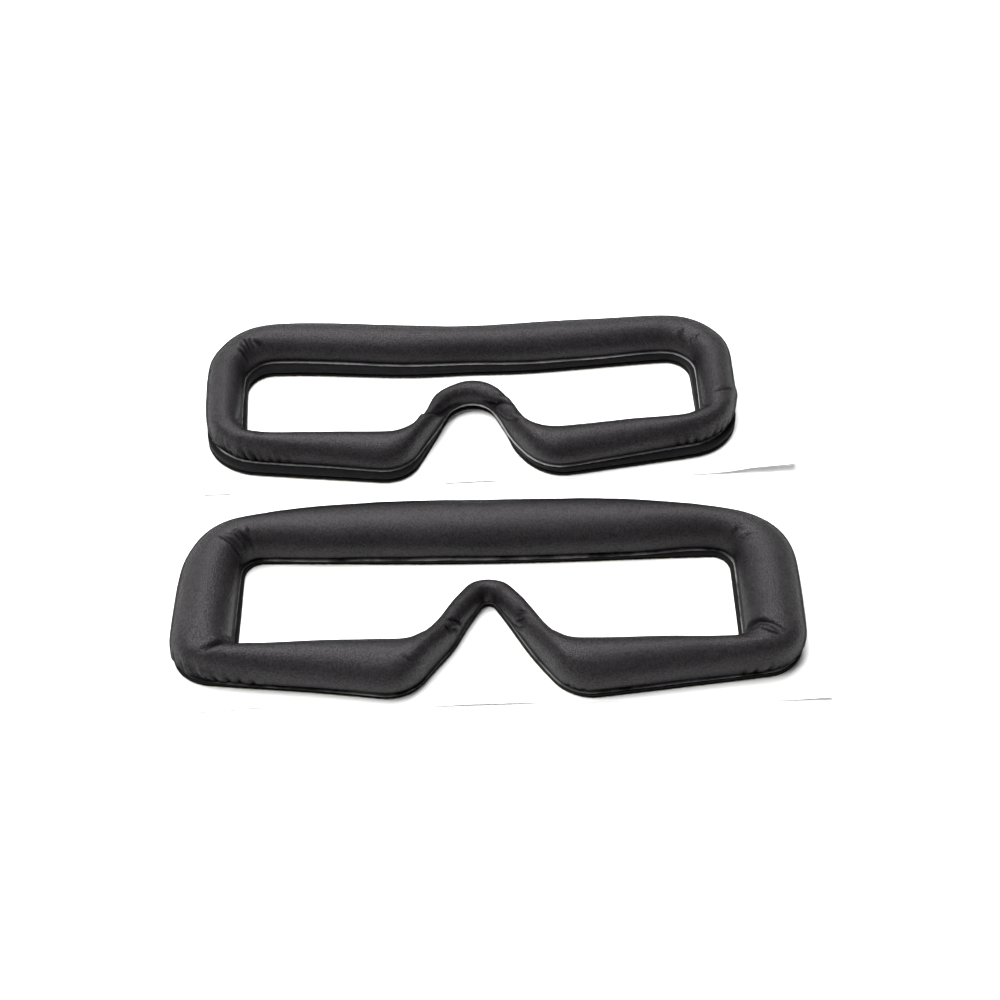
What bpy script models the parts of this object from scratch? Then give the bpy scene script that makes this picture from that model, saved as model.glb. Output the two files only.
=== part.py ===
"""Set of two replacement face pads for first-person-view goggles.

Each pad is a closed ring round both eyes with a notch for the nose. It is a
stack of separate pieces, from the table up: a paper release liner, a film of
adhesive, a ring of hook tape, a ring of loop tape, a stiff backing ring, a
foam core, and a cover of thin imitation leather that rolls over the foam and
tucks in under it.

+Z up. X runs along the pads and Y from the near pad (wide) to the far one
(narrow); the forehead side of each pad faces +Y and its nose notch -Y. The
origin lies on the table, at the middle of the whole set. Dimensions are in
millimetres and become metres only where data is handed to Blender.
"""

import math

import bmesh
import bpy
from mathutils import Matrix, Vector

MM = 0.001

# ---------------------------------------------------------------- dimensions

PLY_GAP = 0.1  # laminated plies that touch in life
FOAM_GAP = 0.3  # foam to the leather round it
LEATHER = 0.9  # imitation leather with its cloth backing
LINER = 0.2
FILM = 0.1
BACKING = 0.7
PAD_TOP = 13.5  # table to the crown of the roll

TAPE_OUT = 0.3  # tape beyond the pad's outer outline
BACKING_OUT = 0.25  # backing beyond both outlines

MITRE_LIMIT = 0.45  # least cosine used when a section corner is inset
MERGE_DISTANCE = 0.05  # joins the mirrored halves on the nose axis

# Pads. "inner" (round the eyes) and "outer" (round the pad) are half outlines,
# x >= 0, mirrored about the nose axis, where the leather meets the backing.
# Each corner is (x, y, radius) about the pad's own centre, from the forehead
# side round to the nose; the first two are points that the bowed forehead edge
# runs through.
#   place             the pad's centre, x and y
#   turn_*            turn about Z in degrees: cover, foam and backing, or tapes and liner
#   hook, loop        tape thicknesses
#   arch_rise         height of the roll at the nose axis
#   tape_in           tape beyond the inner outline: (forehead bar, elsewhere)
#   tape_arch         tape beyond both outlines at the nose axis
#   liner             x0, x1, y0, y1 of the release liner
WIDE = {
    "name": "wide",
    "place": (-2.5, -45.5),
    "turn_pad": 1.3,
    "turn_tape": 1.3,
    "inner": [
        (0, 19.0, 0), (46, 19.9, 0), (74.2, 20.6, 6.0),
        (74.2, -20.4, 5.5), (20.2, -19.0, 9.0), (0, 17.6, 9.7),
    ],
    "outer": [
        (0, 38.2, 0), (46, 36.9, 0), (91.6, 28.4, 21.0),
        (91.6, -26.2, 13.0), (22.8, -35.2, 13.0), (0, 4.0, 2.5),
    ],
    "hook": 0.5,
    "loop": 0.6,
    "arch_rise": 5.8,
    "tape_in": (-0.3, -0.3),
    "tape_arch": 0.2,
    "liner": (-89.5, 98.0, -35.9, 36.5),
}
NARROW = {
    "name": "narrow",
    "place": (-8.4, 41.5),
    "turn_pad": 2.3,
    "turn_tape": 3.4,
    "inner": [
        (0, 18.2, 0), (46, 20.4, 0), (73.8, 22.0, 9.0),
        (73.4, -18.0, 7.5), (20.4, -18.4, 10.0), (0, 18.2, 11.8),
    ],
    "outer": [
        (0, 31.9, 0), (46, 33.7, 0), (86.0, 34.6, 19.0),
        (83.8, -22.8, 17.5), (21.6, -31.6, 12.0), (0, 9.0, 8.35),
    ],
    "hook": 1.4,
    "loop": 1.7,
    "arch_rise": 6.0,
    "tape_in": (1.2, 0.3),
    "tape_arch": -0.9,
    "liner": (-86.0, 101.5, -32.6, 36.0),
}

# Steps along the straight before each rounded corner, and round the corner.
STRAIGHTS = (5, 3, 3, 3)
ARCS = (5, 5, 5, 4)
# The station half way round the lobe beside the nose
LOBE_MIDDLE = sum(STRAIGHTS[:3]) + sum(ARCS[:2]) + ARCS[2] // 2

# Section of the leather from its inner hem over the roll to its outer hem, as
# (share of the bar's width, share of the roll's height).
SECTION = [
    (0.17, 0.0), (0.015, 0.0), (-0.012, 0.16), (-0.004, 0.46), (0.055, 0.76),
    (0.17, 0.95), (0.36, 1.0), (0.60, 0.985), (0.80, 0.88), (0.95, 0.66),
    (1.03, 0.38), (1.015, 0.13), (0.985, 0.0), (0.85, 0.0),
]

# Base colour (linear RGB) and roughness
MATERIALS = {
    "cover": ((0.022, 0.021, 0.022), 0.46),
    "foam_core": ((0.055, 0.055, 0.06), 0.95),
    "backing": ((0.33, 0.33, 0.34), 0.7),
    "loop_tape": ((0.012, 0.012, 0.013), 0.95),
    "hook_tape": ((0.015, 0.015, 0.016), 0.6),
    "adhesive_film": ((0.75, 0.73, 0.66), 0.3),
    "release_liner": ((0.86, 0.86, 0.85), 0.5),
}


# ------------------------------------------------------------------ outlines


def bowed(middle_y, through, end, x):
    """Forehead edge's y at x: an even quartic, level at the nose axis, through two points."""
    slope_through = (through.y - middle_y) / through.x**2
    slope_end = (end.y - middle_y) / end.x**2
    quartic = (slope_end - slope_through) / (end.x**2 - through.x**2)
    square = slope_through - quartic * through.x**2
    return middle_y + square * x**2 + quartic * x**4


def half_outline(corners):
    """Points of a rounded half outline, from the middle of the forehead edge to the nose notch."""
    points = [Vector((x, y)) for x, y, _ in corners]
    # a mirrored neighbour past the last corner closes the arch
    points.append(Vector((-points[-2].x, points[-2].y)))
    outline = []
    start = None
    for k, (straight_steps, arc_steps) in enumerate(zip(STRAIGHTS, ARCS), start=2):
        corner, radius = points[k], corners[k][2]
        back = (points[k - 1] - corner).normalized()
        ahead = (points[k + 1] - corner).normalized()
        half_angle = back.angle(ahead) / 2
        reach = radius / math.tan(half_angle)
        enter, leave = corner + back * reach, corner + ahead * reach
        centre = corner + (back + ahead).normalized() * (radius / math.sin(half_angle))

        for i in range(straight_steps):
            if start is None:
                x = enter.x * i / straight_steps
                outline.append(Vector((x, bowed(points[0].y, points[1], enter, x))))
            else:
                outline.append(start.lerp(enter, i / straight_steps))

        spoke = enter - centre
        sweep = spoke.angle_signed(leave - centre)
        is_last = k == len(corners) - 1
        if is_last:
            sweep /= 2  # the arch's arc stops on the nose axis
        for i in range(arc_steps + is_last):
            outline.append(centre + Matrix.Rotation(-sweep * i / arc_steps, 2) @ spoke)
        start = leave
    outline[-1].x = 0.0
    return outline


def stations(pad):
    """Matching inner and outer points along half of the ring, with each one's arch share.

    The arch share eases from 0, up to the middle of the lobe, to 1 on the nose axis.
    """
    inner, outer = half_outline(pad["inner"]), half_outline(pad["outer"])
    last = len(inner) - 1
    arch_shares = []
    for i in range(len(inner)):
        t = max((i - LOBE_MIDDLE) / (last - LOBE_MIDDLE), 0.0)
        arch_shares.append(t * t * (3 - 2 * t))
    return inner, outer, arch_shares


def mix(a, b, share):
    return a + (b - a) * share


def ring_outlines(pad, forehead_in, elsewhere_in, out, arch):
    """Closed inner and outer outlines of a flat ring, each grown away from the bar's middle."""
    inner, outer = [], []
    for p, q, arch_share in zip(*stations(pad)):
        across = (q - p).normalized()
        grow_in = mix(elsewhere_in, forehead_in, max(across.y, 0.0))
        inner.append(p - across * mix(grow_in, arch, arch_share))
        outer.append(q + across * mix(out, arch, arch_share))
    return [
        half + [Vector((-p.x, p.y)) for p in reversed(half[1:-1])]
        for half in (inner, outer)
    ]


# ------------------------------------------------------------------ sections


def squareness(inner, outer, i):
    """How square a station stands to the bar's two edges: 1 is square, less is skewed."""
    across = (outer[i] - inner[i]).normalized()
    least = 1.0
    for line in (inner, outer):
        if 0 < i < len(line) - 1:
            for edge in (line[i + 1] - line[i], line[i] - line[i - 1]):
                least = min(least, abs(across.cross(edge.normalized())))
    return least


def stand_section(p, q, rise, section):
    """Section points standing on the line from p to q, in the pad's frame."""
    across = q - p
    return [Vector((p.x + across.x * u, p.y + across.y * u, rise * v)) for u, v in section]


def inset(section, width, rise, depth):
    """The closed section lying a depth inside the leather's outer face, in shares again."""
    points = [Vector((u * width, v * rise)) for u, v in section]
    moved = []
    for i, p in enumerate(points):
        before = (p - points[i - 1]).normalized()
        after = (points[(i + 1) % len(points)] - p).normalized()
        along = (before + after).normalized()
        inward = Vector((along.y, -along.x))
        cosine = inward.dot(Vector((before.y, -before.x)))
        moved.append(p + inward * depth / max(MITRE_LIMIT, cosine))
    return [(p.x / width, p.y / rise) for p in moved]


# ------------------------------------------------------------------- objects


def half_loft(name, sections, closed):
    """Skin through the sections of half the ring, open at the nose axis, and mirrored."""
    bm = bmesh.new()
    rows = [[bm.verts.new(p * MM) for p in section] for section in sections]
    count = len(rows[0])
    for row, following in zip(rows, rows[1:]):
        for j in range(count if closed else count - 1):
            k = (j + 1) % count
            bm.faces.new((row[j], following[j], following[k], row[k]))
    for vertex in rows[0] + rows[-1]:
        vertex.co.x = 0.0
    mesh = bpy.data.meshes.new(name)
    bm.to_mesh(mesh)
    bm.free()
    mesh.shade_smooth()

    obj = bpy.data.objects.new(name, mesh)
    mirror = obj.modifiers.new("Mirror", "MIRROR")
    mirror.use_axis = (True, False, False)
    mirror.use_clip = True
    mirror.merge_threshold = MERGE_DISTANCE * MM
    return obj


def plate(name, outlines, thickness):
    """A flat ring or sheet: a filled 2D curve, extruded by half its thickness each way."""
    curve = bpy.data.curves.new(name, "CURVE")
    curve.dimensions = "2D"
    curve.fill_mode = "BOTH"
    curve.extrude = thickness / 2 * MM
    for outline in outlines:
        spline = curve.splines.new("POLY")
        spline.points.add(len(outline) - 1)
        for point, p in zip(spline.points, outline):
            point.co = (p.x * MM, p.y * MM, 0, 1)
        spline.use_cyclic_u = True
    return bpy.data.objects.new(name, curve)


def place(obj, pad, turn, z, parts, mat):
    x, y = pad["place"]
    obj.location = (x * MM, y * MM, z * MM)
    obj.rotation_euler = (0, 0, math.radians(turn))
    obj.data.materials.append(mat)
    parts.objects.link(obj)


# -------------------------------------------------------------------- pieces


def build_flat_plies(pad, parts, mats):
    """Everything under the roll, from the table up; returns the height the roll sits at."""
    x0, x1, y0, y1 = pad["liner"]
    sheet = [[Vector(p) for p in ((x0, y0), (x1, y0), (x1, y1), (x0, y1))]]
    tape = ring_outlines(pad, *pad["tape_in"], TAPE_OUT, pad["tape_arch"])
    # its cut edge shows as a line below the leather
    backing = ring_outlines(pad, BACKING_OUT, BACKING_OUT, BACKING_OUT, BACKING_OUT)
    plies = (
        ("release_liner", sheet, LINER, pad["turn_tape"]),
        ("adhesive_film", tape, FILM, pad["turn_tape"]),
        ("hook_tape", tape, pad["hook"], pad["turn_tape"]),
        ("loop_tape", tape, pad["loop"], pad["turn_tape"]),
        ("backing", backing, BACKING, pad["turn_pad"]),
    )
    z = 0.0
    for piece, outlines, thickness, turn in plies:
        obj = plate(f"{pad['name']}_{piece}", outlines, thickness)
        place(obj, pad, turn, z + thickness / 2, parts, mats[piece])
        z += thickness + PLY_GAP
    return z


def build_cover(pad, roll_z, parts, mats):
    """Leather cover: an open skin over the roll, thickened inwards."""
    sections = [
        stand_section(p, q, mix(PAD_TOP - roll_z, pad["arch_rise"], arch_share), SECTION)
        for p, q, arch_share in zip(*stations(pad))
    ]
    cover = half_loft(f"{pad['name']}_cover", sections, closed=False)
    leather = cover.modifiers.new("Leather", "SOLIDIFY")
    leather.thickness = LEATHER * MM
    leather.offset = -1.0
    leather.use_even_offset = True
    place(cover, pad, pad["turn_pad"], roll_z, parts, mats["cover"])


def build_foam_core(pad, roll_z, parts, mats):
    """Foam core: fills the roll inside the leather, clear of the tucked hems."""
    inner, outer, arch_shares = stations(pad)
    sections = []
    for i, (p, q, arch_share) in enumerate(zip(inner, outer, arch_shares)):
        width = (q - p).length * squareness(inner, outer, i)
        rise = mix(PAD_TOP - roll_z, pad["arch_rise"], arch_share)
        # the hem ends are left off, so the section closes across the underside
        foam_section = inset(SECTION[1:-1], width, rise, LEATHER + FOAM_GAP)
        sections.append(stand_section(p, q, rise, foam_section))
    foam = half_loft(f"{pad['name']}_foam_core", sections, closed=True)
    place(foam, pad, pad["turn_pad"], roll_z, parts, mats["foam_core"])


# --------------------------------------------------------------------- scene


def clear_scene():
    for obj in list(bpy.data.objects):
        bpy.data.objects.remove(obj, do_unlink=True)


def material(name, colour, roughness):
    mat = bpy.data.materials.new(name)
    mat.use_nodes = True
    shader = mat.node_tree.nodes["Principled BSDF"]
    shader.inputs["Base Color"].default_value = (*colour, 1.0)
    shader.inputs["Roughness"].default_value = roughness
    mat.diffuse_color = (*colour, 1.0)
    return mat


def build():
    clear_scene()
    parts = bpy.data.collections.new("fpv_goggle_face_pads")
    bpy.context.scene.collection.children.link(parts)
    mats = {name: material(name, *finish) for name, finish in MATERIALS.items()}
    for pad in (WIDE, NARROW):
        roll_z = build_flat_plies(pad, parts, mats)
        build_cover(pad, roll_z, parts, mats)
        build_foam_core(pad, roll_z, parts, mats)


build()
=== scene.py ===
"""Looks for a set of two goggle face pads, one wide and one narrow.

Each pad is a flat ring about its own centre: forehead bar towards +y, nose arch in
the middle of the -y side, height along +z. From the table up: paper release liner,
adhesive film, hook tape, loop tape, stiff backing ring, foam core and a cover of thin
imitation leather. The leather is simulated as cloth over its foam, then gathered,
pleated and creased. Lengths are in mm until a mesh or a node is made.
"""

import math

import bpy
import numpy as np
from mathutils import Matrix, Vector, noise


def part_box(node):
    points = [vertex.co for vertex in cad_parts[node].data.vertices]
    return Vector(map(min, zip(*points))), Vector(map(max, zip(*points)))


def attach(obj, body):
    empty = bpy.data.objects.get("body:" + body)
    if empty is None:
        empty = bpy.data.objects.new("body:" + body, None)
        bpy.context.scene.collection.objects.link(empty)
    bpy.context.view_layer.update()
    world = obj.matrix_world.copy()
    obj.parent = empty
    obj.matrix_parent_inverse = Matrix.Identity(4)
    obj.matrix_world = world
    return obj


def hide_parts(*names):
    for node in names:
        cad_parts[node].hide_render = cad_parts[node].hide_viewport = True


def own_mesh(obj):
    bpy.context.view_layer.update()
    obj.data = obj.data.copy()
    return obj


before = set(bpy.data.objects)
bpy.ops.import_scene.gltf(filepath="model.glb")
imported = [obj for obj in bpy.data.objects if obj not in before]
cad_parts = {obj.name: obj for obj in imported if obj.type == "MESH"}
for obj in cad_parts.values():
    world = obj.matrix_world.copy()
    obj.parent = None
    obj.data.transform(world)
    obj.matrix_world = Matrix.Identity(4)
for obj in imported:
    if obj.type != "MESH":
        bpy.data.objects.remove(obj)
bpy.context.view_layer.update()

MM = 0.001

# ------------------------------------------------------------------- the pads
# turn_pad, turn_tape: how far the pad and its tape are turned, in degrees.
# inner, outer: the +x half of each outline as (x, y, corner radius), from the middle of
#   the forehead round to the nose; the second point is one the forehead's bow passes.
# arch_rise: height of the leather over the nose arch.
# fullness: how full the roll's (inner, outer) shoulders are, on the forehead bar, the
#   side bars, and the cheek bars with the nose arch. 2 is an ellipse, more is squarer.
# neat: how much less the leather stands out round the nose arch, 0 to 1.
# tuck: share of the section above each hem that lies in shade.
# board_arch, tape_box, tape_cut: growth of an outline, as grown() takes it. tape_box
#   fits the CAD tape and finds its centre; tape_cut is the tape as it is made.
# liner: the paper's (x low, x high, y low, y high).
# pull: (x, y, reach in x, reach in y, shift in x, shift in y, which plies).

PADS = {
    "wide": {
        "turn_pad": 1.3,
        "turn_tape": 1.3,
        "inner": [
            (0, 19.0, 0), (46, 19.9, 0), (74.2, 20.6, 6.0),
            (74.2, -20.4, 5.5), (20.2, -19.0, 9.0), (0, 17.6, 9.7),
        ],
        "outer": [
            (0, 38.2, 0), (46, 36.9, 0), (91.6, 28.4, 21.0),
            (91.6, -26.2, 13.0), (22.8, -35.2, 13.0), (0, 4.0, 2.5),
        ],
        "arch_rise": 5.8,
        "fullness": ((2.1, 2.45), (2.0, 2.6), (3.2, 2.0)),
        "neat": 0.0,
        "tuck": 0.028,
        "board_arch": -0.1,
        "tape_box": ((-0.3, -0.3), 0.3, 0.2),
        "tape_cut": ((0.0, 0.8), 0.3, 0.0),
        "liner": (-89.5, 98.0, -35.9, 36.5),
        "pull": [
            (-90, 21, 12, 13, 1.5, -0.3, "both"),
            (-85, -22, 16, 14, -0.6, 0.0, "both"),
            (-36, -19, 24, 8, 0.0, 0.8, "both"),
            (14, -18, 12, 13, -0.95, -0.2, "both"),
            (-11, -17, 7, 9, 1.2, 0.0, "both"),
            (-40, -31, 36, 9, 0.0, 1.0, "tape"),
            (64, 21, 13, 8, 0.0, 1.2, "pad"),
            (-52, 20, 16, 7, 0.0, -0.5, "pad"),
        ],
        "uneven_seed": 3.0,
    },
    "narrow": {
        "turn_pad": 2.3,
        "turn_tape": 3.4,
        "inner": [
            (0, 18.2, 0), (46, 20.4, 0), (73.8, 22.0, 9.0),
            (73.4, -18.0, 7.5), (20.4, -18.4, 10.0), (0, 18.2, 11.8),
        ],
        "outer": [
            (0, 31.9, 0), (46, 33.7, 0), (86.0, 34.6, 19.0),
            (83.8, -22.8, 17.5), (21.6, -31.6, 12.0), (0, 9.0, 8.35),
        ],
        "arch_rise": 6.0,
        "fullness": ((2.1, 2.35), (2.0, 2.6), (2.7, 2.0)),
        "neat": 0.6,
        "tuck": 0.060,
        "board_arch": 0.3,
        "tape_box": ((1.2, 0.3), 0.3, -0.9),
        "tape_cut": ((1.2, 0.9), 0.75, -1.6),
        "liner": (-86.0, 101.5, -32.6, 36.0),
        "pull": [
            (-55, 31, 26, 22, 0.0, 1.3, "both"),
            (-84, 27, 12, 12, 1.3, -0.4, "both"),
            (-72, 38, 10, 8, 0.2, -1.1, "both"),
            (68, -18, 30, 12, 0.0, 3.0, "pad"),
            (0, 11, 13, 10, 0.3, 1.0, "both"),
            (0, 12, 12, 8, 0.0, 0.35, "pad"),
            (-12, -1, 6, 6, -1.5, 0.4, "pad"),
            (12, -13, 6, 5, 0.5, 0.0, "tape"),
            (17, -23, 7, 6, -0.4, 0.2, "tape"),
            (15, -18, 11, 11, -1.9, -0.1, "both"),
            (62, 22, 14, 8, 0.0, 0.9, "pad"),
        ],
        "uneven_seed": 11.0,
    },
}
PLIES = ("release_liner", "adhesive_film", "hook_tape", "loop_tape", "backing", "cover")
BOARD_BOX = ((0.25, 0.25), 0.25, 0.25)  # growth that fits the CAD backing
BOARD_IN, BOARD_OUT = (-0.25, -0.25), -0.16  # growth of the board as it is made
EDGE_WANDER = ((1, 0.34, 21.0, 40.0), (0, 0.22, 24.0, 52.0))  # axis, amount, size, seed

# Stations along half the ring: on each straight, and round each corner.
STRAIGHTS = (40, 14, 32, 18)
ARCS = (28, 26, 20, 12)

# Leather section: a rounded roll, its widest part a quarter of the way up, that
# curls under to its hems. Shares of the bar's width and of the roll's height.
WIDEST = 0.25
PROUD = (0.03, 0.075, 0.03)  # how far it stands out past the backing: forehead, sides, cheeks
HEM_IN, HEM_OUT = (0.17, 0.06), (0.83, 0.945)  # each hem's edge, then its fold
ROLL_SIZE = (18, 11)  # typical width and height, used to space the section's points
SECTION_POINTS = 27
FINER = 3  # the simulated leather is refined this many times each way
LEATHER = 0.9  # thickness
BOARD = 0.28  # visible thickness of the backing's cut edge

CLOTH_SCALE = 10.0  # worked at ten times life size, where the solver is steadier
CLOTH_FRAMES = 18
CLOTH_REACH = 1.1  # the furthest the simulation may move the leather

LIGHT = 2.0  # the studio is bright enough to wash out white paper; dark tones are set to suit


# ------------------------------------------------------------------ geometry


def bowed(middle, through, end, x):
    """y of an even fourth-power curve from (0, middle) through two points."""
    (x_near, y_near), (x_far, y_far) = through, end
    fourth = (y_far - middle) / x_far**2 - (y_near - middle) / x_near**2
    fourth /= x_far**2 - x_near**2
    second = (y_near - middle) / x_near**2 - fourth * x_near**2
    return middle + second * x**2 + fourth * x**4


def half_outline(corners, dense):
    points = [Vector(corner[:2]) for corner in corners]
    points.append(Vector((-points[-2].x, points[-2].y)))
    out, start = [], None
    for k in range(2, len(corners)):
        corner, radius = points[k], corners[k][2]
        back = (points[k - 1] - corner).normalized()
        ahead = (points[k + 1] - corner).normalized()
        half = back.angle(ahead) / 2
        reach = radius / math.tan(half)
        enter, leave = corner + back * reach, corner + ahead * reach
        centre = corner + (back + ahead).normalized() * (radius / math.sin(half))
        last = k == len(corners) - 1
        steps, turns = STRAIGHTS[k - 2] * dense, ARCS[k - 2] * dense
        for i in range(steps):
            if start is None:
                x = enter.x * i / steps
                out.append(Vector((x, bowed(points[0].y, points[1], enter, x))))
            else:
                out.append(start.lerp(enter, i / steps))
        spoke = enter - centre
        sweep = spoke.angle_signed(leave - centre)
        share = 0.5 if last else 1.0  # the nose corner is shared with the other half
        for i in range(turns + last):
            out.append(centre + Matrix.Rotation(-sweep * share * i / turns, 2) @ spoke)
        start = leave
    out[-1].x = 0.0
    return np.array([(p.x, p.y) for p in out])


def whole(half):
    """A half outline and its mirror image, as one closed ring."""
    return np.concatenate([half, half[1:-1][::-1] * (-1, 1)])


def ease(x, start, end):
    share = np.clip((x - start) / (end - start), 0, 1)
    return share * share * (3 - 2 * share)


def bell(x, middle, reach):
    return np.exp(-(((x - middle) / reach) ** 2))


def soften(ring, passes):
    """Evens out the joins between straights and arcs of a closed ring."""
    for _ in range(passes):
        ring = 0.25 * np.roll(ring, 1, 0) + 0.5 * ring + 0.25 * np.roll(ring, -1, 0)
    return ring


def stations(design, dense=1):
    """Inner and outer points round the ring, and how far into the nose arch each is, 0 to 1."""
    inner, outer = (half_outline(design[side], dense) for side in ("inner", "outer"))
    count = len(inner)
    lobe = dense * (sum(STRAIGHTS[:3]) + sum(ARCS[:2]) + ARCS[2] // 2)
    arch = ease(np.arange(count), lobe, count - 1)
    return whole(inner), whole(outer), np.concatenate([arch, arch[1:-1][::-1]])


def grown(design, grow_in, grow_out, grow_arch):
    """Outlines of a flat ring, moved along each station.
    grow_in holds the growth on the forehead bar, then elsewhere."""
    inner, outer, arch = stations(design, dense=2)
    across = outer - inner
    across /= np.linalg.norm(across, axis=1)[:, None]
    grow = grow_in[1] + (grow_in[0] - grow_in[1]) * np.maximum(across[:, 1], 0)
    inner = inner - across * (grow + (grow_arch - grow) * arch)[:, None]
    outer = outer + across * (grow_out + (grow_arch - grow_out) * arch)[:, None]
    return inner, outer


def turned(points, degrees):
    cos, sin = math.cos(math.radians(degrees)), math.sin(math.radians(degrees))
    return points @ np.array([[cos, sin], [-sin, cos]])


def placed(grid, turn, origin):
    out = np.array(grid, float)
    out[..., :2] = turned(out[..., :2], turn) + origin
    return out


def grain(points, size, seed=0.0):
    """Smooth noise, -1 to 1, at each point, with features of a size in mm."""
    scale = 1.0 / size
    shift = (seed, -seed, 0.5 * seed)
    return np.array([noise.noise(Vector([c * scale + s for c, s in zip(p, shift)])) for p in points])


def pulled(points, design, ply="pad"):
    """The pads aren't quite symmetric: each place pulls the outline, and the edge wanders."""
    out = np.array(points, float)
    x, y = points[..., 0], points[..., 1]
    for at_x, at_y, reach_x, reach_y, shift_x, shift_y, plies in design["pull"]:
        if plies not in ("both", ply):
            continue
        weight = np.exp(-(((x - at_x) / reach_x) ** 2) - ((y - at_y) / reach_y) ** 2)
        out[..., 0] += shift_x * weight
        out[..., 1] += shift_y * weight
    if ply == "pad":
        flat = np.stack([x.ravel(), y.ravel(), np.zeros(x.size)], axis=1)
        for axis, amount, size, seed in EDGE_WANDER:
            out[..., axis] += amount * grain(flat, size, seed).reshape(x.shape)
    return out


def origin_from(node, rings, degrees):
    """Where a pad's own centre lies, in mm, read from a CAD node's box."""
    low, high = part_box(node)
    points = turned(np.concatenate(rings), degrees)
    middle = np.array([(low.x + high.x) / 2, (low.y + high.y) / 2]) / MM
    return middle - (points.min(0) + points.max(0)) / 2


def travel(line):
    """Length of each step round a closed line, and the distance run up to each point."""
    steps = np.linalg.norm(np.roll(line, -1, 0) - line, axis=1)
    return steps, np.concatenate([[0], np.cumsum(steps)])


def roll_section(count, fullness, proud):
    """Even points from the inner hem, over the roll, to the outer hem."""
    points = [(HEM_IN[0], 0.0), (HEM_IN[1] + 0.05, 0.0)]
    low = np.linspace(0, 1, 12)[:-1]
    quarter = math.pi / 2
    # from each hem's fold the leather curls out to the widest part
    for k in low:
        x = HEM_IN[1] * (1 - math.sin(quarter * k))
        points.append((x, WIDEST * (1 - math.cos(quarter * k))))
    for angle in np.linspace(math.pi, 0, 60):
        cos, sin = math.cos(angle), math.sin(angle)
        power = fullness[0] if cos < 0 else fullness[1]
        reach = 0.5 if cos < 0 else 0.5 + proud
        x = 0.5 + reach * math.copysign(abs(cos) ** (2 / power), cos)
        points.append((x, WIDEST + (1 - WIDEST) * sin ** (2 / power)))
    far = 1 + proud
    for k in low[1:]:
        x = far - (far - HEM_OUT[1]) * (1 - math.sin(quarter * (1 - k)))
        points.append((x, WIDEST * (1 - math.cos(quarter * (1 - k)))))
    points += [(HEM_OUT[1], 0.0), (HEM_OUT[0], 0.0)]
    points = np.array(points)
    lengths = np.linalg.norm(np.diff(points * ROLL_SIZE, axis=0), axis=1)
    run = np.concatenate([[0], np.cumsum(lengths)])
    want = np.linspace(0, run[-1], count)
    out = np.stack([np.interp(want, run, points[:, i]) for i in range(2)], axis=1)
    # the fold itself is a soft bend
    for _ in range(2):
        out[1:-1] = 0.2 * out[:-2] + 0.6 * out[1:-1] + 0.2 * out[2:]
    return out


def cubic(p0, p1, p2, p3, t):
    """A Catmull-Rom curve between p1 and p2."""
    square = (2 * p0 - 5 * p1 + 4 * p2 - p3) * t**2
    return 0.5 * (2 * p1 + (p2 - p0) * t + square + (3 * p1 - p0 - 3 * p2 + p3) * t**3)


def upsample(grid, times):
    """A finer grid, closed along its first axis, through cubic curves."""
    rows = np.empty((grid.shape[0] * times,) + grid.shape[1:])
    before, after, beyond = (np.roll(grid, k, 0) for k in (1, -1, -2))
    for k in range(times):
        rows[k::times] = cubic(before, grid, after, beyond, k / times)
    first, last = 2 * rows[:, :1] - rows[:, 1:2], 2 * rows[:, -1:] - rows[:, -2:-1]
    ends = np.concatenate([first, rows, last], axis=1)
    out = np.empty((rows.shape[0], (rows.shape[1] - 1) * times + 1, rows.shape[2]))
    for k in range(times):
        out[:, k:-1:times] = cubic(
            ends[:, :-3], ends[:, 1:-2], ends[:, 2:-1], ends[:, 3:], k / times
        )
    out[:, -1] = rows[:, -1]
    return out


def grid_normals(grid):
    around = np.roll(grid, -1, 0) - np.roll(grid, 1, 0)
    across = np.empty_like(grid)
    across[:, 1:-1] = grid[:, 2:] - grid[:, :-2]
    across[:, 0], across[:, -1] = grid[:, 1] - grid[:, 0], grid[:, -1] - grid[:, -2]
    normal = np.cross(around, across)
    return normal / np.maximum(np.linalg.norm(normal, axis=2), 1e-12)[..., None]


def mesh_object(name, verts, faces, smooth=True):
    mesh = bpy.data.meshes.new(name)
    mesh.from_pydata((np.asarray(verts, float) * MM).tolist(), [], faces)
    mesh.update()
    if smooth:
        mesh.shade_smooth()
    obj = bpy.data.objects.new(name, mesh)
    bpy.context.scene.collection.objects.link(obj)
    return obj


def skin_faces(rows, cols, closed):
    """Quads over a grid whose rows close on themselves, and whose columns do if asked."""
    i = np.arange(rows)[:, None]
    j = np.arange(cols if closed else cols - 1)[None, :]
    i_next, j_next = (i + 1) % rows * cols, (j + 1) % cols
    i = i * cols
    quads = np.broadcast_arrays(i + j, i_next + j, i_next + j_next, i + j_next)
    return np.stack(quads, axis=-1).reshape(-1, 4).tolist()


def give(obj, mat, body, slot, *nodes):
    """Gives an object its material, the body it rides and the CAD nodes it replaces."""
    obj.data.materials.append(mat)
    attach(obj, body)
    if nodes:
        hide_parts(*nodes)


# ----------------------------------------------------------------- materials


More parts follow.
